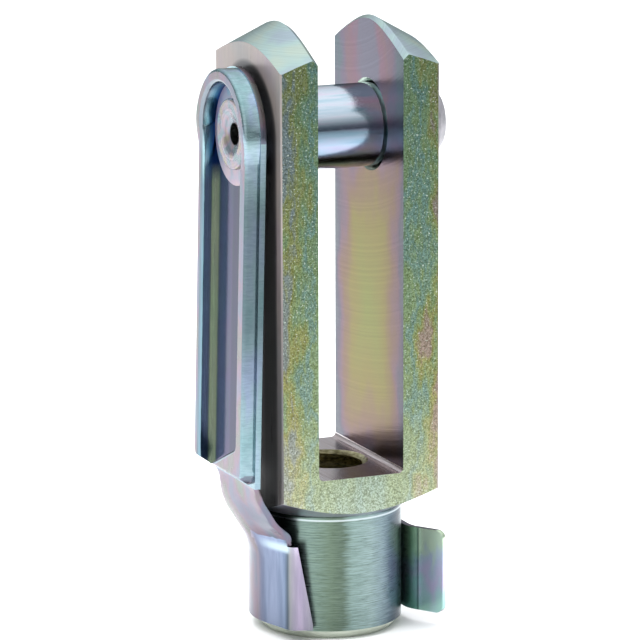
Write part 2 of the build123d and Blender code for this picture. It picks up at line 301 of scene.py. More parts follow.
# %% Patterns that follow the piece
class Patterns(Wiring):
    def __init__(self, name):
        super().__init__(name)
        self.place = self.node("TexCoord").outputs["Object"]

    def along(self, letter):
        """The place along one axis of the object, in metres."""
        split = self.node("SeparateXYZ")
        self.feed(split.inputs[0], self.place)
        return split.outputs[letter]

    def axis(self, letter, start_mm, end_mm):
        """0 to 1 along one axis of the object, between two places in millimetres."""
        spread = self.node("MapRange")
        self.feed(spread.inputs["Value"], self.along(letter))
        spread.inputs["From Min"].default_value = start_mm * MM
        spread.inputs["From Max"].default_value = end_mm * MM
        return spread.outputs[0]

    def distance(self, counted, centre_mm=(0, 0, 0)):
        """Metres from a centre, counting only the axes marked 1: with two of them, metres from a line."""
        flat = self.node("VectorMath", operation="MULTIPLY")
        self.feed(flat.inputs[0], self.place)
        flat.inputs[1].default_value = counted
        away = self.node("VectorMath", operation="DISTANCE")
        self.feed(away.inputs[0], flat.outputs[0])
        away.inputs[1].default_value = Vector(centre_mm) * MM
        return away.outputs["Value"]

    def spread_out(self, noise, contrast):
        node = self.node("MapRange")
        self.feed(node.inputs["Value"], noise)
        node.inputs["From Min"].default_value = 0.5 - 0.25 / contrast
        node.inputs["From Max"].default_value = 0.5 + 0.25 / contrast
        return node.outputs[0]

    def noise(self, size_mm, detail=2.0, roughness=0.5, contrast=1.0):
        """Cloudy noise; its grains have a size along X, Y and Z in millimetres."""
        stretch = self.node("Mapping")
        self.feed(stretch.inputs["Vector"], self.place)
        stretch.inputs["Scale"].default_value = [1 / (MM * size) for size in size_mm]
        cloud = self.node("TexNoise")
        self.feed(cloud.inputs["Vector"], stretch.outputs[0])
        cloud.inputs["Scale"].default_value = 1.0
        cloud.inputs["Detail"].default_value = detail
        cloud.inputs["Roughness"].default_value = roughness
        return self.spread_out(cloud.outputs["Fac"], contrast)

    def lines(self, distance, spacing_mm, contrast=1.0):
        """Fine uneven lines, one after another along a distance in metres."""
        grain = self.node("TexNoise", noise_dimensions="1D")
        self.feed(grain.inputs["W"], self.maths("MULTIPLY", distance, 1 / (MM * spacing_mm)))
        grain.inputs["Scale"].default_value = 1.0
        grain.inputs["Detail"].default_value = 2.0
        return self.spread_out(grain.outputs["Fac"], contrast)

    def sway(self, value, cloud, reach):
        """Lets a value wander by half of reach up and down, as a cloud of noise says."""
        return self.maths("ADD", value, self.maths("MULTIPLY", self.maths("SUBTRACT", cloud, 0.5), reach))


# %% [markdown]
# A finish hands its patterns to the shader: as colour, as roughness and as bump. Marks are multiplied into
# the colour, because grime, grooves and scratches only ever darken what is under them.

# %% A finish on the shader
class Finish(Patterns):
    def __init__(self, name, roughness, metallic=1.0):
        super().__init__(name)
        self.shader = self.nodes["Principled BSDF"]
        self.shader.inputs["Metallic"].default_value = metallic
        self.shader.inputs["Roughness"].default_value = roughness

    def mask(self, factor, *stops):
        """A ramp of plain strengths from 0 to 1, to blend by."""
        return self.ramp(factor, *((position, (level, level, level, 1)) for position, level in stops))

    def stain(self, colour, factor, *stops, strength=1.0):
        """Multiplies a colour by a ramp."""
        return self.mix(strength, colour, self.ramp(factor, *stops), "MULTIPLY")

    def colour(self, value):
        self.feed(self.shader.inputs["Base Color"], value)

    def roughness(self, factor, smooth, rough):
        node = self.node("MapRange")
        self.feed(node.inputs["Value"], factor)
        node.inputs["To Min"].default_value = smooth
        node.inputs["To Max"].default_value = rough
        self.feed(self.shader.inputs["Roughness"], node.outputs[0])

    def bump(self, height, depth_mm):
        """Raised and sunk grain; one bump may be laid on another."""
        node = self.node("Bump")
        node.inputs["Strength"].default_value = 1.0
        node.inputs["Distance"].default_value = depth_mm * MM
        self.feed(node.inputs["Height"], height)
        normal = self.shader.inputs["Normal"]
        if normal.links:
            self.feed(node.inputs["Normal"], normal.links[0].from_socket)
        self.links.new(node.outputs[0], normal)

    def tell(self):
        print(self.material.name, "has", len(self.nodes), "nodes so far")


# %% [markdown]
# One piece carries many finishes, one for each way its faces were made. The pieces stay whole, and each
# face takes its finish by where it lies and which way it looks, so no edge has to be picked by hand.

# %% Give faces a finish
def paint(piece, finish, chosen=lambda middle, normal: True):
    """The finish goes on the faces that the test chooses, by their middle in mm and their normal."""
    if finish.material.name not in piece.data.materials:
        piece.data.materials.append(finish.material)
    slot = piece.data.materials.find(finish.material.name)
    count = 0
    for face in piece.data.polygons:
        if chosen(face.center / MM, face.normal):
            face.material_index = slot
            count += 1
    print(finish.material.name, "on", count, "faces of", piece.name)


# %% [markdown]
# ## The bar's drawn sides
# The bar is cold drawn, so its left and right sides are smooth, with faint lines along the bar. The plate
# on them looks pinkish grey with a little violet. Noise that is short across the bar and long down it
# gives the drag marks, and wide soft noise the clouds in the plate.

# %% Drawn sides
drawn = Finish("drawn_bar_side", 0.24, metallic=0.5)
side_clouds = drawn.noise((3.0, 5.0, 9.0), detail=3.0, contrast=1.2)
pinks = drawn.ramp(
    side_clouds, (0.1, tint(150, 147, 146)), (0.5, tint(160, 149, 144)), (0.9, tint(153, 140, 147)),
)
drag_marks = drawn.noise((0.16, 0.16, 6.0), detail=3.0)
pinks = drawn.stain(pinks, drag_marks, (0.2, tint(120, 120, 118)), (0.8, WHITE), strength=0.25)
drawn.roughness(drag_marks, 0.26, 0.4)
drawn.bump(drag_marks, 0.004)
drawn.tell()

# %% [markdown]
# The left side is painted dark along the clip's outline, as painted shade where the clip shades the side.
# That outline is two upright lines, joined by an arc round the pin. One distance gives all of it: up to
# the pin's height it is measured from the side's middle line, and above that from the pin's axis.

# %% Painted shade along the clip's outline
bar_half = 8.0     # the bar is 16 mm square, with the shank's axis in its middle
pin_height = 48.0  # above the shank's end

above_pin = drawn.maths("MAXIMUM", drawn.maths("SUBTRACT", drawn.along("Z"), pin_height * MM), 0.0)
squares = [drawn.maths("POWER", distance, 2.0) for distance in (above_pin, drawn.along("Y"))]
from_clip_middle = drawn.maths("SQRT", drawn.maths("ADD", *squares))
clip_shade = drawn.ramp(
    drawn.maths("DIVIDE", from_clip_middle, bar_half * MM), (0.38, WHITE), (0.5, tint(96, 99, 103)),
    (0.79, tint(82, 85, 90)), (0.83, tint(140, 144, 148)), (0.88, WHITE),
)
# Lower down the side is painted darker still, as painted shade.
clip_shade = drawn.stain(
    clip_shade, drawn.axis("Z", 12, 40), (0.1, tint(150, 152, 155)), (0.6, tint(205, 207, 210)), (1.0, WHITE),
)
on_left_side = drawn.maths("LESS_THAN", drawn.along("X"), 0.0)
drawn.colour(drawn.mix(on_left_side, pinks, drawn.mix(1.0, pinks, clip_shade, "MULTIPLY")))
paint(fork, drawn)

# %% [markdown]
# ## The fork's front and back
# These two faces are rough, like fine sandpaper, and the plate on them is patchy: olive and yellow-green next
# to blue-green, in tall streaks. The colours run from one edge of the face to the other, and tall noise
# shifts them sideways, so that the streaks wander. The faces are painted paler low down and darker towards
# the top, as painted light and shade.

# %% Streaks of the sandy faces
shank_top = 12.0   # where the shank meets the shoulder under the bar
cone_start = 53.0  # the arms' ends start to slope a little above this height

sandy = Finish("sandy_front_and_back", 0.46)
streaks = sandy.noise((1.6, 3.0, 5.0), detail=4.0, roughness=0.6, contrast=1.3)
across_bar = sandy.sway(sandy.axis("X", -bar_half, bar_half), streaks, 0.24)
olive, moss, sea = tint(200, 206, 138), tint(180, 210, 160), tint(164, 206, 200)
patches = sandy.ramp(
    across_bar, (0.0, tint(180, 196, 200)), (0.06, olive), (0.12, moss), (0.19, sea), (0.24, moss),
    (0.5, sea), (0.77, moss), (0.84, sea), (0.9, moss), (0.95, olive), (1.0, tint(206, 190, 180)),
)
up_bar = sandy.axis("Z", shank_top, 56)
# Painted shade: the faces are made darker towards the top.
patches = sandy.stain(
    patches, up_bar, (0.03, tint(230, 225, 225)), (0.11, tint(222, 211, 200)), (0.27, tint(210, 201, 199)),
    (0.48, tint(190, 188, 182)), (0.68, tint(174, 177, 177)), (0.91, tint(158, 164, 166)),
)
# Painted light: the foot is mixed towards a pale tint.
painted_light_at_foot = sandy.mask(up_bar, (0.0, 0.5), (0.1, 0.3), (0.25, 0.0))
patches = sandy.mix(painted_light_at_foot, patches, tint(214, 216, 200))
sandy.tell()

# %% [markdown]
# The sand itself is a noise with grains of 0.15 mm. It goes into the colour, the roughness and the bump
# together, so that the pits are dark, and the tops of the grains are pale and dull. A few grains get a
# painted glint.

# %% Sand on the front and back
sand = sandy.noise((0.15, 0.15, 0.15), roughness=0.6)
patches = sandy.stain(
    patches, sand, (0.05, tint(150, 150, 135)), (0.5, tint(215, 215, 208)), (0.8, WHITE),
)
painted_glints = sandy.mask(sandy.noise((0.2, 0.2, 0.2), detail=1.0), (0.74, 0.0), (0.95, 0.55))
sandy.colour(sandy.mix(painted_glints, patches, tint(225, 235, 220)))
sandy.roughness(sand, 0.38, 0.55)
sandy.bump(sand, 0.02)
sandy.bump(streaks, 0.03)
paint(fork, sandy, lambda middle, normal: abs(normal.y) > 0.9 and abs(middle.y) > bar_half - 0.2)

# %% [markdown]
# ## The turned ends
# A lathe turns the arms' ends to a cone, and below the bar the shoulder and the shank, so these carry fine
# rings round the fork's axis. On the cones, lines that follow the distance from the axis are such rings.

# %% Turned cones
cone = Finish("turned_cone", 0.3)
cone_rings = cone.lines(cone.distance((1, 1, 0)), 0.16, contrast=0.8)
pale_steel = cone.ramp(
    cone.noise((4.0, 4.0, 4.0), contrast=1.2),
    (0.15, tint(205, 220, 228)), (0.5, tint(214, 238, 232)), (0.85, tint(225, 240, 225)),
)
cone.colour(cone.stain(pale_steel, cone_rings, (0.0, tint(190, 195, 190)), (1.0, WHITE), strength=0.35))
cone.bump(cone_rings, 0.003)
paint(fork, cone, lambda middle, normal: middle.z > cone_start and normal.z > 0.3)

# %% [markdown]
# Tall bands of lighter and darker colour run up the shank, as painted reflections. They lie side by side
# across it, with edges that wobble a little from one groove to the next.

# %% Plate on the turned shank
shank_radius = 7.0
shank = Finish("turned_shank", 0.3)
wobble = shank.noise((1.5, 1.5, 0.12))
round_shank = shank.sway(shank.axis("X", -shank_radius, shank_radius), wobble, 0.06)
# Painted reflections: light and dark bands across the shank.
painted_reflections_and_grooves = shank.ramp(
    round_shank, (0.0, tint(118, 132, 130)), (0.19, tint(130, 151, 143)), (0.32, tint(113, 130, 114)),
    (0.4, tint(104, 120, 108)), (0.46, tint(144, 166, 162)), (0.6, tint(152, 172, 172)),
    (0.7, tint(134, 152, 160)), (0.78, tint(98, 114, 128)), (0.88, tint(66, 80, 92)),
    (0.95, tint(150, 162, 168)), (1.0, tint(160, 172, 176)),
)
shank.tell()

# %% [markdown]
# The shank's grooves follow its height, and short scratches break them up. Both darken the plate, and a thin
# painted highlight marks the shank's top corner.

# %% Grooves and scratches of the shank
grooves = shank.lines(shank.along("Z"), 0.1, contrast=0.8)
scratches = shank.noise((1.3, 1.3, 0.07), detail=3.0, roughness=0.6, contrast=1.1)
painted_reflections_and_grooves = shank.stain(painted_reflections_and_grooves, grooves, (0.0, tint(130, 142, 134)), (1.0, WHITE), strength=0.45)
painted_reflections_and_grooves = shank.stain(painted_reflections_and_grooves, scratches, (0.1, tint(140, 150, 140)), (0.7, WHITE), strength=0.6)
corner_highlight = shank.mask(shank.axis("Z", 11, 12), (0.54, 0.0), (0.62, 0.6), (0.7, 0.6), (0.78, 0.0))
shank.colour(shank.mix(corner_highlight, painted_reflections_and_grooves, tint(214, 224, 228)))
shank.roughness(scratches, 0.24, 0.4)
shank.bump(grooves, 0.003)
paint(fork, shank, lambda middle, normal: middle.z < shank_top + 0.1 and middle.xy.length > 6.0)

# %% [markdown]
# The shoulder is the short cone between the bar and the shank. It looks down, is seldom touched, and has
# kept an even violet grey, so quiet noise is enough for it.

# %% The shoulder under the bar
shoulder = Finish("turned_shoulder", 0.32)
shoulder.colour(shoulder.ramp(
    shoulder.noise((2.5, 2.5, 1.0), contrast=1.2),
    (0.1, tint(176, 172, 188)), (0.5, tint(186, 184, 194)), (0.9, tint(178, 190, 198)),
))
shoulder.bump(shoulder.noise((3.0, 3.0, 0.1)), 0.003)


def on_shoulder(middle, normal):
    below_bar = shank_top + 0.1 < middle.z < 15 and middle.xy.length > 7.05
    return below_bar and -0.97 < normal.z < -0.3


paint(fork, shoulder, on_shoulder)

# %% [markdown]
# The shank's end was faced and chamfered in one go, and the chamfer is the dullest ring of the fork. It is
# painted the palest, as painted light against the shade at the foot. The test asks for the distance from the
# axis, which leaves the bore out. It leaves out the flat end as well, whose middle lies on the axis: nobody
# sees it, and it keeps the drawn sides' finish.

# %% The chamfer round the shank's end
faced = Finish("faced_end", 0.4, metallic=0.3)
tool_rings = faced.noise((1.5, 1.5, 0.08))
faced.colour(faced.ramp(tool_rings, (0.1, tint(176, 184, 168)), (0.9, tint(214, 220, 206))))
faced.bump(tool_rings, 0.003)
paint(fork, faced, lambda middle, normal: middle.z < 0.9 and normal.z < -0.5 and middle.xy.length > 4.6)

# %% [markdown]
# ## The slot
# The slot is sawn, so each tooth has left a faint arc across its walls. They are the least handled faces,
# and the passivated film has kept its strongest colours there: gold in the middle, then rose, then a
# blue edge, as the film gets thinner towards the rim of the face. One value that grows from the face's
# middle to its rim, sideways or upwards, gives the film its place on the ramp. From the pin up, a second
# ramp takes over, which is more violet.

# %% Film on the slot's walls
slot_middle_height = 31.0  # about half way from the slot's floor up to the pin
slot_reach = 17.0          # from there up to the pin

sawn = Finish("sawn_slot_wall", 0.27)
sideways = sawn.maths("DIVIDE", sawn.maths("ABSOLUTE", sawn.along("Y")), bar_half * MM)
upwards = sawn.maths("ABSOLUTE", sawn.maths("SUBTRACT", sawn.along("Z"), slot_middle_height * MM))
upwards = sawn.maths("DIVIDE", upwards, slot_reach * MM)
drift = sawn.noise((3.0, 3.0, 6.0), detail=3.0)
wall_film = sawn.ramp(
    sawn.sway(sawn.maths("MAXIMUM", sideways, upwards), drift, 0.3),
    (0.0, tint(112, 118, 52)), (0.45, tint(119, 108, 52)), (0.68, tint(116, 92, 74)),
    (0.82, tint(112, 88, 98)), (0.93, tint(90, 86, 100)), (1.0, tint(94, 98, 106)),
)
film_round_pin = sawn.ramp(
    sawn.sway(sideways, drift, 0.6),
    (0.05, tint(104, 102, 118)), (0.3, tint(122, 92, 108)), (0.5, tint(120, 94, 102)),
    (0.7, tint(106, 94, 114)), (0.92, tint(88, 102, 110)),
)
wall_film = sawn.mix(sawn.axis("Z", 46, 49), wall_film, film_round_pin)
sawn.tell()

# %% [markdown]
# The saw came from above, so the arcs are circles round a centre well above the arms.

# %% Saw marks on the slot's walls
slot_half = 4.3
saw_centre = (0, 8, 80)
saw_arcs = sawn.lines(sawn.distance((0, 1, 1), saw_centre), 0.28)
sawn.colour(sawn.stain(wall_film, saw_arcs, (0.2, tint(190, 190, 190)), (0.95, WHITE), strength=0.3))
sawn.bump(saw_arcs, 0.004)


def on_slot_wall(middle, normal):
    return abs(normal.x) > 0.9 and abs(abs(middle.x) - slot_half) < 0.05 and middle.z > 16


paint(fork, sawn, on_slot_wall)

# %% [markdown]
# The slot's floor was cut by the tips of the teeth, so its marks are long, straight and along the cut.

# %% Slot floor
floor_steel = Finish("sawn_slot_floor", 0.25)
tooth_marks = floor_steel.noise((0.12, 5.0, 5.0), detail=3.0)
floor_steel.colour(floor_steel.ramp(
    tooth_marks, (0.1, tint(215, 198, 196)), (0.5, tint(240, 222, 220)), (0.9, tint(255, 248, 248)),
))
floor_steel.bump(tooth_marks, 0.004)


def on_slot_floor(middle, normal):
    return 15.9 < middle.z < 16.6 and normal.z > 0.2 and abs(middle.x) < slot_half + 0.05


paint(fork, floor_steel, on_slot_floor)

# %% [markdown]
# ## Bores and thread
# The drill leaves darker, greener steel in the bore across the arms. Its marks run round the hole.

# %% Cross bore
bored = Finish("drilled_bore", 0.3)
swirls = bored.noise((0.15, 2.0, 2.0))
bored.colour(bored.ramp(swirls, (0.1, tint(120, 135, 120)), (0.9, tint(175, 195, 180))))
bored.bump(swirls, 0.005)


def from_pin_axis(middle):
    return math.hypot(middle.y, middle.z - pin_height)


def in_cross_bore(middle, normal):
    inside_an_arm = slot_half - 0.1 < abs(middle.x) < bar_half + 0.1
    return from_pin_axis(middle) < 4.5 and inside_an_arm and abs(normal.x) < 0.9


paint(fork, bored, in_cross_bore)

# %% [markdown]
# Cutting oil left by the tap keeps the plate from going deep into the thread, so it stays a dull gold.

# %% Tapped thread
tapped = Finish("tapped_thread", 0.36)
oil_film = tapped.noise((0.5, 0.5, 0.2), detail=3.0, contrast=1.2)
tapped.colour(tapped.ramp(
    oil_film, (0.1, tint(140, 132, 100)), (0.5, tint(190, 182, 140)), (0.9, tint(215, 208, 170)),
))
tapped.bump(oil_film, 0.006)


def in_thread(middle, normal):
    """The bore's faces; the shank's end face has its middle there too, but at height 0."""
    return middle.xy.length < 4.15 and middle.z < 15.95 and abs(middle.z) > 0.001


paint(fork, tapped, in_thread)

# %% [markdown]
# ## The clip's finish
# The clip is rolled spring steel, so it is glossier than the fork, and its plate shows soft clouds of
# pink, blue and green. The rolls leave fine lines along the strip. All of the clip gets this finish first,
# and the faces that the press tool has worked are painted over it afterwards.

# %% Rolled faces of the clip
rolled = Finish("rolled_clip_face", 0.24)
strip_clouds = rolled.noise((2.4, 2.4, 4.5), contrast=1.3)
strip_film = rolled.ramp(
    strip_clouds, (0.0, tint(112, 124, 134)), (0.3, tint(122, 122, 139)), (0.5, tint(136, 120, 134)),
    (0.7, tint(132, 124, 127)), (1.0, tint(126, 135, 130)),
)
roll_lines = rolled.noise((0.1, 0.1, 1.6), detail=3.0)
strip_film = rolled.stain(strip_film, roll_lines, (0.1, tint(170, 170, 175)), (0.9, WHITE), strength=0.18)
strip_film = rolled.stain(strip_film, rolled.axis("Z", 8, 16), (0.0, tint(218, 216, 218)), (1.0, WHITE))
rolled.colour(strip_film)
rolled.roughness(strip_clouds, 0.18, 0.3)
rolled.bump(roll_lines, 0.0015)
paint(clip, rolled)

# %% [markdown]
# The lever's rim was drawn up by a press tool, which polished the rim's outer walls and left fine lines
# across them. They are bluer than the flat strip and painted brighter than it, as painted light, and up the
# walls they are painted darkest half way up and palest round the head, as painted shade and highlight.

# %% Plate on the pressed rim's walls
pressed = Finish("pressed_rim_wall", 0.2)
blues = pressed.ramp(
    pressed.noise((1.6, 1.6, 6.0), contrast=1.2),
    (0.1, tint(165, 205, 205)), (0.5, tint(182, 212, 216)), (0.9, tint(190, 210, 232)),
)
# Painted shade and light: darkest half way up, palest round the head.
blues = pressed.stain(
    blues, pressed.axis("Z", 14, 54), (0.05, tint(200, 200, 205)), (0.22, tint(185, 185, 190)),
    (0.42, tint(138, 138, 142)), (0.7, tint(140, 140, 142)), (0.82, tint(200, 200, 200)), (0.95, WHITE),
)
draw_lines = pressed.noise((0.8, 0.8, 0.14), detail=3.0, contrast=1.2)
pressed.colour(pressed.stain(blues, draw_lines, (0.1, tint(170, 180, 185)), (0.8, WHITE), strength=0.35))
pressed.bump(draw_lines, 0.004)
pressed.tell()

# %% [markdown]
# The walls are found by their normals: the flat faces look straight out to the left, and the walls and
# their rounds don't. The brim along their feet is flat, so it is found by its level instead. The lever
# leans outward as it goes down, so a level is first brought back to what it would be at the pin's height.

# %% Find the rim's walls and its brim
lever_foot = 15.6      # the sloping neck starts below this height
lever_lean = 0.0244    # how far the lever leans out for each millimetre down
rim_start = -9.2       # the rim and the brim lie to the left of this
brim_level = -9.3
pad_foot = 44.0        # the brim's faces have their middle below this height, and the pad's above it
flat_to_left = 0.985   # a face whose normal reaches less far to the side than this is a wall


def level_of(middle):
    """Where the face would be at the pin's height, if the lever stood upright."""
    return middle.x + (pin_height - middle.z) * lever_lean


def on_rim_wall(middle, normal):
    faces_sideways = abs(normal.x) < flat_to_left and normal.z > -0.3
    return middle.z > lever_foot and middle.x < rim_start and faces_sideways


def at_brim_level(middle, normal):
    return normal.x < -0.9 and abs(level_of(middle) - brim_level) < 0.03


def on_brim(middle, normal):
    return at_brim_level(middle, normal) and lever_foot < middle.z < pad_foot


# The brim and the walls' rounds get this brighter finish as painted light.
paint(clip, pressed, on_rim_wall)
paint(clip, pressed, on_brim)

# %% [markdown]
# The rim's inner walls are the tightest bends of the sheet. The film changes from the crest inward, so the
# distance below the crest gives its place, and a pale green painted highlight lies along the wall's foot.
# Round the head the blue is deeper, as a painted reflection.

# %% Film inside the rim
crest_level = -10.7
rim_depth = 1.55

rim_inside = Finish("rim_inside", 0.14)
below_pin = rim_inside.maths("SUBTRACT", pin_height * MM, rim_inside.along("Z"))
level = rim_inside.maths("ADD", rim_inside.along("X"), rim_inside.maths("MULTIPLY", below_pin, lever_lean))
from_crest = rim_inside.maths("SUBTRACT", level, crest_level * MM)
from_crest = rim_inside.maths("DIVIDE", from_crest, rim_depth * MM)
inner_film_and_highlight = rim_inside.ramp(
    from_crest, (0.08, tint(120, 132, 142)), (0.2, tint(122, 152, 164)), (0.5, tint(134, 158, 172)),
    (0.7, tint(120, 140, 150)), (0.8, tint(225, 255, 185)), (0.97, tint(228, 255, 195)),
)
round_end_film_and_reflection = rim_inside.ramp(
    from_crest, (0.08, tint(130, 138, 146)), (0.2, tint(170, 206, 212)), (0.4, tint(150, 205, 215)),
    (0.6, tint(70, 130, 165)), (0.8, tint(30, 66, 120)),
)
inner_film_and_highlight = rim_inside.mix(rim_inside.axis("Z", 42.5, 44.5), inner_film_and_highlight, round_end_film_and_reflection)
rub_lines = rim_inside.noise((0.1, 0.7, 5.0), detail=3.0, contrast=1.2)
rim_inside.colour(rim_inside.stain(
    inner_film_and_highlight, rub_lines, (0.1, tint(150, 170, 180)), (0.8, WHITE), strength=0.3,
))
rim_inside.bump(rub_lines, 0.003)
rim_inside.tell()

# %% [markdown]
# Below the pin the inner walls look towards the lever's middle line, and above it they look towards the
# pin's axis. Both tests compare a face's normal with the way from that line or axis to the face.

# %% Find the rim's inner walls
inner_reach = 5.3  # the inner walls and their rounds lie within this of the middle line or the pin's axis


def on_inner_wall(middle, normal):
    sideways = normal.y * middle.y
    towards_pin = sideways + normal.z * (middle.z - pin_height) < 0
    upright = lever_foot < middle.z < pin_height and abs(middle.y) < inner_reach and sideways < -0.1
    round_end = middle.z >= pin_height and from_pin_axis(middle) < inner_reach and towards_pin
    return middle.x < rim_start and abs(normal.x) < flat_to_left and (upright or round_end)


paint(clip, rim_inside, on_inner_wall)

# %% [markdown]
# The panel between the rims is the smoothest face of the clip, and it mirrors the rims beside it. Its colour
# is painted dark, as painted reflection, and a ramp across it paints in their soft stripes as well, as
# painted reflections, from lilac to deep blue.

# %% Mirror-like panel
panel = Finish("mirror_panel", 0.12)
panel_tints = panel.ramp(
    panel.noise((1.5, 1.5, 7.0), contrast=1.3), (0.0, tint(82, 102, 114)), (0.35, tint(86, 96, 124)),
    (0.6, tint(98, 92, 124)), (1.0, tint(92, 108, 116)),
)
# Painted reflection: the rims' stripes across the panel.
panel.colour(panel.stain(
    panel_tints, panel.axis("Y", 5, -5), (0.08, tint(150, 124, 160)), (0.26, tint(184, 164, 198)),
    (0.3, tint(166, 150, 184)), (0.44, tint(160, 150, 178)), (0.47, tint(116, 120, 150)),
    (0.6, tint(120, 126, 144)),
))
panel_level = -9.25  # the panel lies deeper than the brim, further to the right than this


def on_panel(middle, normal):
    between_rims = -4.9 < middle.y < 5.0 and lever_foot < middle.z < 53.5
    at_panel_level = level_of(middle) > panel_level and middle.x < -8.7
    return between_rims and at_panel_level and normal.x < -0.9


paint(clip, panel, on_panel)

# %% [markdown]
# The pad is the flat ring that the rivet head presses on. It is rubbed, so it is duller and pinker.

# %% The pad round the pin
pad = Finish("pad_face", 0.3, metallic=0.55)
pad.colour(pad.ramp(
    pad.noise((1.5, 1.5, 1.5), contrast=1.2),
    (0.1, tint(140, 150, 164)), (0.45, tint(166, 148, 164)), (0.9, tint(176, 158, 162)),
))
paint(clip, pad, lambda middle, normal: at_brim_level(middle, normal) and middle.z > pad_foot)

# %% [markdown]
# ## The band's hook and tab
# The band that clips round the shank ends in a hook on the left and a tab on the right. The hook's front was
# bent by a press, and its stripes from its fold to its edge are partly the plate's tints and partly painted
# light and shade of its facets, with a painted dark crease line.

# %% Stripes on the hook
hook = Finish("hook_front", 0.22)
hook_tints_and_shading = hook.ramp(
    hook.axis("Y", 0, -7), (0.12, tint(142, 132, 145)), (0.2, tint(118, 124, 148)),
    (0.3, tint(134, 146, 172)), (0.5, tint(150, 162, 188)), (0.7, tint(134, 150, 176)),
    (0.765, tint(95, 108, 120)), (0.8, tint(160, 162, 164)), (0.86, tint(180, 168, 192)),
    (0.97, tint(150, 156, 154)),
)
press_drag = hook.noise((0.5, 0.5, 5.0), detail=3.0, contrast=1.1)
hook_tints_and_shading = hook.stain(hook_tints_and_shading, press_drag, (0.1, tint(190, 195, 205)), (0.8, WHITE), strength=0.5)
# The hook is also made darker towards its bottom.
hook_tints_and_shading = hook.stain(
    hook_tints_and_shading, hook.axis("Z", 7, 10),
    (0.0, tint(215, 215, 215)), (0.45, tint(225, 225, 225)), (0.72, WHITE),
)
hook.tell()

# %% [markdown]
# The top of the hook gets a painted highlight. It is one strip up the hook times another along it.

# %% The hook's painted highlight
highlight_up = hook.mask(hook.axis("Z", 7.6, 10.2), (0.36, 0.0), (0.5, 1.0), (0.62, 1.0), (0.8, 0.0))
highlight_along = hook.mask(hook.axis("Y", -1.6, -6), (0.0, 0.0), (0.35, 0.8), (0.85, 1.0), (0.92, 0.0))
hook_highlight = hook.mix(1.0, highlight_up, highlight_along, "MULTIPLY")
hook.colour(hook.mix(hook_highlight, hook_tints_and_shading, tint(178, 196, 204)))
hook.bump(press_drag, 0.004)


def on_hook_front(middle, normal):
    front_left = middle.x < 0 and middle.y < -0.9 and middle.z < 9.9
    return front_left and normal.x < 0.1 and normal.y < -0.1


paint(clip, hook, on_hook_front)

# %% [markdown]
# The tab is flared out so that the clip can be pulled off. Its clouds run down it from pale green to violet
# and sea green. Its front is painted brighter than the strip, as painted light, and darker near the shank, as
# painted shade, with a painted dark crease and a painted highlight where the flare starts.

# %% The flared tab
tab = Finish("tab_front", 0.25, metallic=0.75)
tab_clouds = tab.noise((1.2, 1.2, 2.6), contrast=1.3)
tab_tints = tab.ramp(
    tab.sway(tab.axis("Z", 9.3, 1.2), tab_clouds, 0.35),
    (0.0, tint(240, 255, 220)), (0.2, tint(226, 246, 216)), (0.4, tint(210, 222, 240)),
    (0.58, tint(224, 212, 242)), (0.75, tint(196, 228, 232)), (1.0, tint(190, 236, 226)),
)
# Painted shade near the shank, and a painted dark crease with a painted highlight beside it.
tab.colour(tab.stain(
    tab_tints, tab.axis("X", 6.9, 9.4), (0.0, tint(80, 98, 94)), (0.2, tint(140, 166, 156)),
    (0.29, tint(176, 200, 192)), (0.33, tint(110, 125, 125)), (0.37, tint(240, 250, 250)),
    (0.45, tint(232, 234, 236)),
))


# Only the front gets this painted light; the back keeps the rolled finish.
def on_tab(middle, normal):
    return middle.x > 6.6 and middle.z < 13 and normal.x < 0.6 and normal.z > -0.5


paint(clip, tab, on_tab)

# %% [markdown]
# The inside of the lever faces the fork across a gap of about a millimetre. It is painted dark, as painted
# shade, so that the gap reads as a black line as it does on the real part.

# %% The lever's inside
inside = Finish("shaded_inside", 0.4)
shade_blotches = inside.noise((1.5, 1.5, 3.0), detail=3.0, contrast=1.2)
inside.colour(inside.ramp(shade_blotches, (0.1, tint(60, 64, 66)), (0.9, tint(95, 100, 102))))
inside.bump(shade_blotches, 0.01)
paint(clip, inside, lambda middle, normal: normal.x > 0.6 and middle.z > 10 and middle.x < -7.2)

# %% [markdown]
# ## The pin's finish
# The pin is turned from drawn wire and plated bright. Long streaks run along it, pale cyan to lilac. Up its
# height it is painted in pale and dark bands, as painted reflections, and darker low down, as painted shade
# where less light from above reaches it.

# %% Bright pin
bright = Finish("bright_pin", 0.13)
pin_streaks = bright.noise((6.0, 0.7, 0.7), detail=3.0, contrast=1.2)
shine = bright.ramp(
    pin_streaks, (0.1, tint(205, 228, 240)), (0.5, tint(232, 240, 250)), (0.9, tint(244, 232, 248)),
)
# Painted reflections and painted shade: pale and dark bands by height, darkest low down.
bright.colour(bright.stain(
    shine, bright.axis("Z", pin_height - 4, pin_height + 4), (0.0, tint(160, 140, 130)),
    (0.1, tint(128, 136, 146)), (0.25, tint(165, 176, 188)), (0.35, tint(170, 182, 195)),
    (0.47, tint(128, 144, 152)), (0.58, tint(145, 160, 168)), (0.7, WHITE),
))
specks = bright.noise((0.3, 0.2, 0.2), detail=3.0, roughness=0.7)
bright.roughness(specks, 0.09, 0.2)
bright.bump(specks, 0.0015)
paint(pin, bright)

# %% [markdown]
# The pin's head is riveted over, and the punch leaves rings round a dished face that is duller than the
# pin. Lines that follow the distance from the pin's axis are such rings.

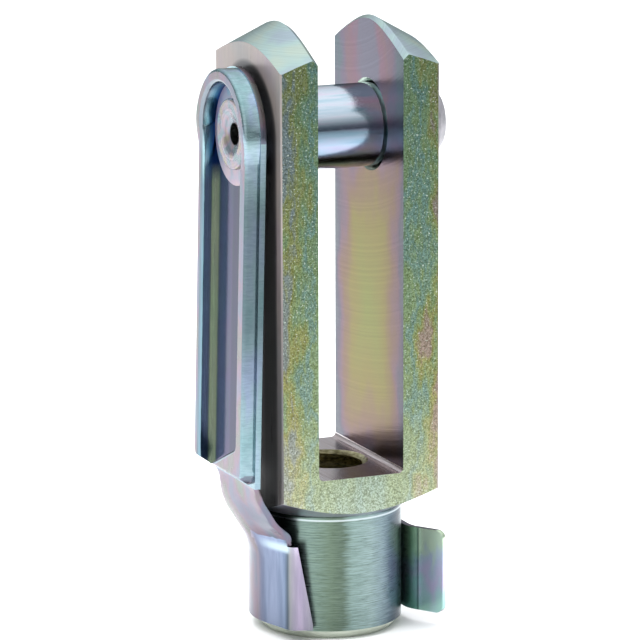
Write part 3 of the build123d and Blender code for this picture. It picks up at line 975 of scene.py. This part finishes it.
# %% Rivet head
head_start = -9.2  # the head lies to the left of this, on the clip's pad
riveted = Finish("riveted_head", 0.25, metallic=0.6)
punch_rings = riveted.lines(riveted.distance((0, 1, 1), (0, 0, pin_height)), 0.3)
head_film = riveted.ramp(
    riveted.noise((1.2, 1.2, 1.2), contrast=1.4), (0.0, tint(130, 150, 152)), (0.35, tint(142, 150, 160)),
    (0.6, tint(166, 148, 160)), (1.0, tint(164, 158, 138)),
)
riveted.colour(riveted.stain(head_film, punch_rings, (0.1, tint(140, 145, 150)), (0.9, WHITE), strength=0.5))
riveted.bump(punch_rings, 0.012)
paint(pin, riveted, lambda middle, normal: middle.x < head_start)

# %% [markdown]
# The pin's tip, outside the far arm, was cut off and only lightly cleaned, so it is dull.

# %% The pin's tip
tip = Finish("pin_tip", 0.4, metallic=0.5)
tip_clouds = tip.noise((0.8, 0.8, 0.8), detail=3.0, contrast=1.2)
tip.colour(tip.ramp(tip_clouds, (0.1, tint(150, 148, 152)), (0.9, tint(182, 178, 184))))
tip.bump(tip_clouds, 0.004)
paint(pin, tip, lambda middle, normal: middle.x > 8.5 and normal.x > 0.2)

# %% [markdown]
# The rivet is hollow, and light hardly reaches into its drilled end, so it is painted near black, as painted
# shade.

# %% The hole in the rivet
hollow = Finish("drilled_rivet_end", 0.5)
hole_shade_blotches = hollow.noise((0.3, 0.3, 0.3), contrast=1.2)
hollow.colour(hollow.ramp(hole_shade_blotches, (0.1, tint(20, 22, 22)), (0.9, tint(48, 50, 46))))
hollow.bump(hole_shade_blotches, 0.01)


def in_rivet_hole(middle, normal):
    """The head's ring has its middle on the axis too, so the way that a face looks decides as well."""
    hole_wall = abs(normal.x) < 0.5 and middle.x < -6
    hole_floor = normal.x < -0.5 and middle.x > head_start
    return from_pin_axis(middle) < 1.3 and (hole_wall or hole_floor)


paint(pin, hollow, in_rivet_hole)

# %% [markdown]
# ## Join the pieces to the model
# The clip is riveted to the pin, so both ride on the clip's body and swing together. Each piece stands for
# the CAD node that it was copied from, and that node is hidden.

# %% Ride and replace
for piece, body, node in [(fork, "fork", "fork"), (clip, "clip", "spring_clip"), (pin, "clip", "clip_pin")]:
    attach(piece, body)
    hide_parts(node)
    print(piece.name, "rides on", body, "and carries", len(piece.data.materials), "finishes")

# %% [markdown]
# ## The floor and the light
# Bright metal shows its surroundings more than its own colour, so the floor and the sky are chosen for what
# the part mirrors. The floor is dull and nearly white, with no shine of its own to confuse the metal.

# %% Make the floor
bpy.ops.object.select_all(action="DESELECT")
bpy.ops.mesh.primitive_plane_add(size=4.0, location=(0, 0, 0))
floor = bpy.context.active_object
floor.name = "floor"
floor_paint = bpy.data.materials.new("floor_paint")
floor_paint.use_nodes = True
floor_shader = floor_paint.node_tree.nodes["Principled BSDF"]
floor_shader.inputs["Base Color"].default_value = (0.92, 0.92, 0.92, 1)
floor_shader.inputs["Roughness"].default_value = 0.9
floor_shader.inputs["Specular IOR Level"].default_value = 0.0
floor.data.materials.append(floor_paint)
print("the floor is", round(floor.dimensions.x, 1), "m wide")

# %% [markdown]
# The sky is a grey that gets paler from the horizon up, so that upright faces mirror something with a
# slope in it, as they would in a room with pale walls.

# %% Make the sky
world = bpy.data.worlds.new("studio")
bpy.context.scene.world = world
world.use_nodes = True
sky_nodes, link_sky = world.node_tree.nodes, world.node_tree.links.new
direction = sky_nodes.new("ShaderNodeTexCoord").outputs["Generated"]
sky_split = sky_nodes.new("ShaderNodeSeparateXYZ")
link_sky(direction, sky_split.inputs[0])
sky = sky_nodes.new("ShaderNodeValToRGB")
link_sky(sky_split.outputs["Z"], sky.inputs[0])
sky_stops = [
    (0.0, (0.10, 0.115, 0.13)), (0.3, (0.42, 0.45, 0.47)), (0.7, (0.75, 0.8, 0.85)), (1.0, (0.95, 1.0, 1.05)),
]
while len(sky.color_ramp.elements) < len(sky_stops):
    sky.color_ramp.elements.new(0.5)
for element, (position, colour) in zip(sky.color_ramp.elements, sky_stops):
    element.position = position
    element.color = (*colour, 1)
print("the sky has", len(sky_stops), "greys")

# %% [markdown]
# A white glow at the front left stands for a large pale screen, and the rim's walls catch it. It is part
# of the sky and not a lamp, so its edge is soft in the metal.

# %% Add the screen's glow
screen_side = sky_nodes.new("ShaderNodeVectorMath")
screen_side.operation = "DOT_PRODUCT"
link_sky(direction, screen_side.inputs[0])
screen_side.inputs[1].default_value = Vector((-0.55, -0.8, 0.25)).normalized()
glow = sky_nodes.new("ShaderNodeMapRange")
link_sky(screen_side.outputs["Value"], glow.inputs["Value"])
glow.inputs["From Min"].default_value = 0.55
glow.inputs["To Max"].default_value = 0.75
lit_sky = sky_nodes.new("ShaderNodeMix")
lit_sky.data_type = "RGBA"
link_sky(glow.outputs[0], lit_sky.inputs["Factor"])
link_sky(sky.outputs["Color"], lit_sky.inputs[Finish.MIX_FIRST])
lit_sky.inputs[Finish.MIX_SECOND].default_value = WHITE
link_sky(lit_sky.outputs[Finish.MIX_RESULT], sky_nodes["Background"].inputs["Color"])
print("the glow's middle lies towards", [round(value, 2) for value in screen_side.inputs[1].default_value])

# %% [markdown]
# One softbox hangs low over the part, so the floor is bright round its foot and fades away in front of it,
# which gives the upright faces their shading from a pale foot to a darker top. Two more behind it keep the
# far floor white, and a small one lifts the floor to the left, which the clip mirrors. They are hidden
# from mirror-like faces, since a hard white square on the metal would look like a fault.

# %% Hang the softboxes
def softbox(name, place, target, size, power):
    lamp = bpy.data.lights.new(name, "AREA")
    lamp.shape = "RECTANGLE"
    lamp.size, lamp.size_y = size
    lamp.energy = power
    box = bpy.data.objects.new(name, lamp)
    bpy.context.scene.collection.objects.link(box)
    place, target = Vector(place), Vector(target)
    turn = (target - place).to_track_quat("-Z", "Y").to_matrix().to_4x4()
    box.matrix_world = Matrix.Translation(place) @ turn
    box.visible_glossy = False
    print(name, "gives", power, "W from", round((target - place).length, 2), "m away")


softbox("overhead_light", (0.0, 0.02, 0.34), (0, 0.02, 0), (0.26, 0.26), 1.3)
softbox("back_light_left", (-0.2, 0.5, 0.5), (-0.05, 0.42, 0), (0.5, 0.4), 1.8)
softbox("back_light_right", (0.4, 0.45, 0.5), (0.25, 0.4, 0), (0.4, 0.4), 1.2)
softbox("front_light_left", (-0.22, -0.12, 0.3), (-0.2, -0.1, 0), (0.2, 0.2), 0.7)

# %% [markdown]
# ## Finish
# The scene is brought up to date at the end.

# %% Bring the scene up to date
bpy.context.view_layer.update()
